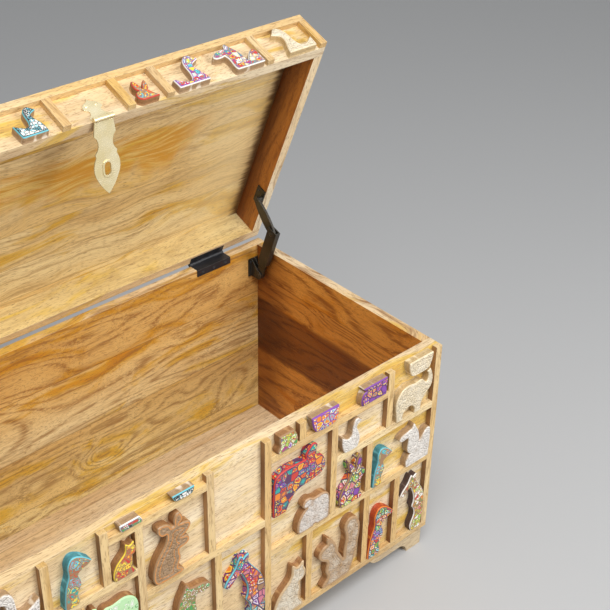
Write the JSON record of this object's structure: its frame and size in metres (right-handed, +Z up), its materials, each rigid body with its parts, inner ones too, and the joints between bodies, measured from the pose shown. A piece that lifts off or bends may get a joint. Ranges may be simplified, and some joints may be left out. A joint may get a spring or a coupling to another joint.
{
  "type": "storage trunk",
  "caption": "Wooden storage trunk on bracket feet, front set with slats and carved animals, with a hinged lid, folding lid stays and a swinging brass hasp.",
  "frame": {"origin": "floor under the middle of the carcass", "axes": "+X to the right seen from the front, +Y to the rear, +Z up; the front faces -Y"},
  "size_m": [0.85, 0.5328, 0.9035],
  "materials": {
    "board_wood": "satin",
    "slat_wood": "satin",
    "carved_wood": "satin",
    "black_steel": "satin",
    "dark_bronze": "satin",
    "brass": "polished"
  },
  "bodies": {
    "box": {"back_panel": "board_wood", "bottom_panel": "board_wood", "front_bottom_rail": "slat_wood", "front_calf_figures": "carved_wood", "front_cat_figures": "carved_wood", "front_cross_slats": "slat_wood", "front_elephant_figures": "carved_wood", "front_giraffe_figures": "carved_wood", "front_goose_figures": "carved_wood", "front_horse_figures": "carved_wood", "front_lamb_figures": "carved_wood", "front_left_foot": "board_wood", "front_mouse_figures": "carved_wood", "front_panel": "board_wood", "front_parrot_figures": "carved_wood", "front_rabbit_figures": "carved_wood", "front_right_foot": "board_wood", "front_squirrel_figures": "carved_wood", "front_stiles": "slat_wood", "front_upright_slats": "slat_wood", "left_hinge_box_leaf": "black_steel", "left_side_panel": "board_wood", "left_stay_box_bracket": "dark_bronze", "rear_left_foot": "board_wood", "rear_right_foot": "board_wood", "right_hinge_box_leaf": "black_steel", "right_side_panel": "board_wood", "right_stay_box_bracket": "dark_bronze"},
    "lid": {"hasp_plate": "brass", "left_hinge_lid_leaf": "black_steel", "left_stay_lid_bracket": "dark_bronze", "lid_back_rim": "board_wood", "lid_cat_figures": "carved_wood", "lid_elephant_figures": "carved_wood", "lid_front_rim": "board_wood", "lid_goose_figures": "carved_wood", "lid_horse_figures": "carved_wood", "lid_left_rim": "board_wood", "lid_rabbit_figures": "carved_wood", "lid_right_rim": "board_wood", "lid_stiles": "slat_wood", "lid_top_panel": "board_wood", "lid_top_rail": "slat_wood", "lid_upright_slats": "slat_wood", "right_hinge_lid_leaf": "black_steel", "right_stay_lid_bracket": "dark_bronze"},
    "left_stay_lower": {"left_stay_lower_link": "dark_bronze"},
    "left_stay_upper": {"left_stay_upper_link": "dark_bronze"},
    "right_stay_lower": {"right_stay_lower_link": "dark_bronze"},
    "right_stay_upper": {"right_stay_upper_link": "dark_bronze"},
    "hasp_strap": {"hasp_strap": "brass"}
  },
  "joints": [
    {"name": "lid_hinge", "type": "hinge", "parent": "box", "child": "lid", "pos_m": [0, 0.2293, 0.4463], "axis": [1, 0, 0], "range_deg": [0, 68]},
    {"name": "left_stay_foot", "type": "hinge", "parent": "box", "child": "left_stay_lower", "pos_m": [-0.395, 0.1867, 0.3953], "axis": [1, 0, 0], "range_deg": [0, 68]},
    {"name": "left_stay_knee", "type": "hinge", "parent": "left_stay_lower", "child": "left_stay_upper", "pos_m": [-0.395, 0.15088, 0.49731], "axis": [1, 0, 0], "range_deg": [-68, 0]},
    {"name": "right_stay_foot", "type": "hinge", "parent": "box", "child": "right_stay_lower", "pos_m": [0.395, 0.1867, 0.3953], "axis": [1, 0, 0], "range_deg": [0, 68]},
    {"name": "right_stay_knee", "type": "hinge", "parent": "right_stay_lower", "child": "right_stay_upper", "pos_m": [0.395, 0.15088, 0.49731], "axis": [1, 0, 0], "range_deg": [-68, 0]},
    {"name": "hasp_hinge", "type": "hinge", "parent": "lid", "child": "hasp_strap", "pos_m": [0, 0.05673, 0.8713], "axis": [1, 0, 0], "range_deg": [-78.2, 0]}
  ],
  "couplings": [
    {"joint": "left_stay_foot", "follows": "lid_hinge", "ratio": 1},
    {"joint": "left_stay_knee", "follows": "lid_hinge", "ratio": -1},
    {"joint": "right_stay_foot", "follows": "lid_hinge", "ratio": 1},
    {"joint": "right_stay_knee", "follows": "lid_hinge", "ratio": -1},
    {"joint": "hasp_hinge", "follows": "lid_hinge", "ratio": -1.15}
  ]
}
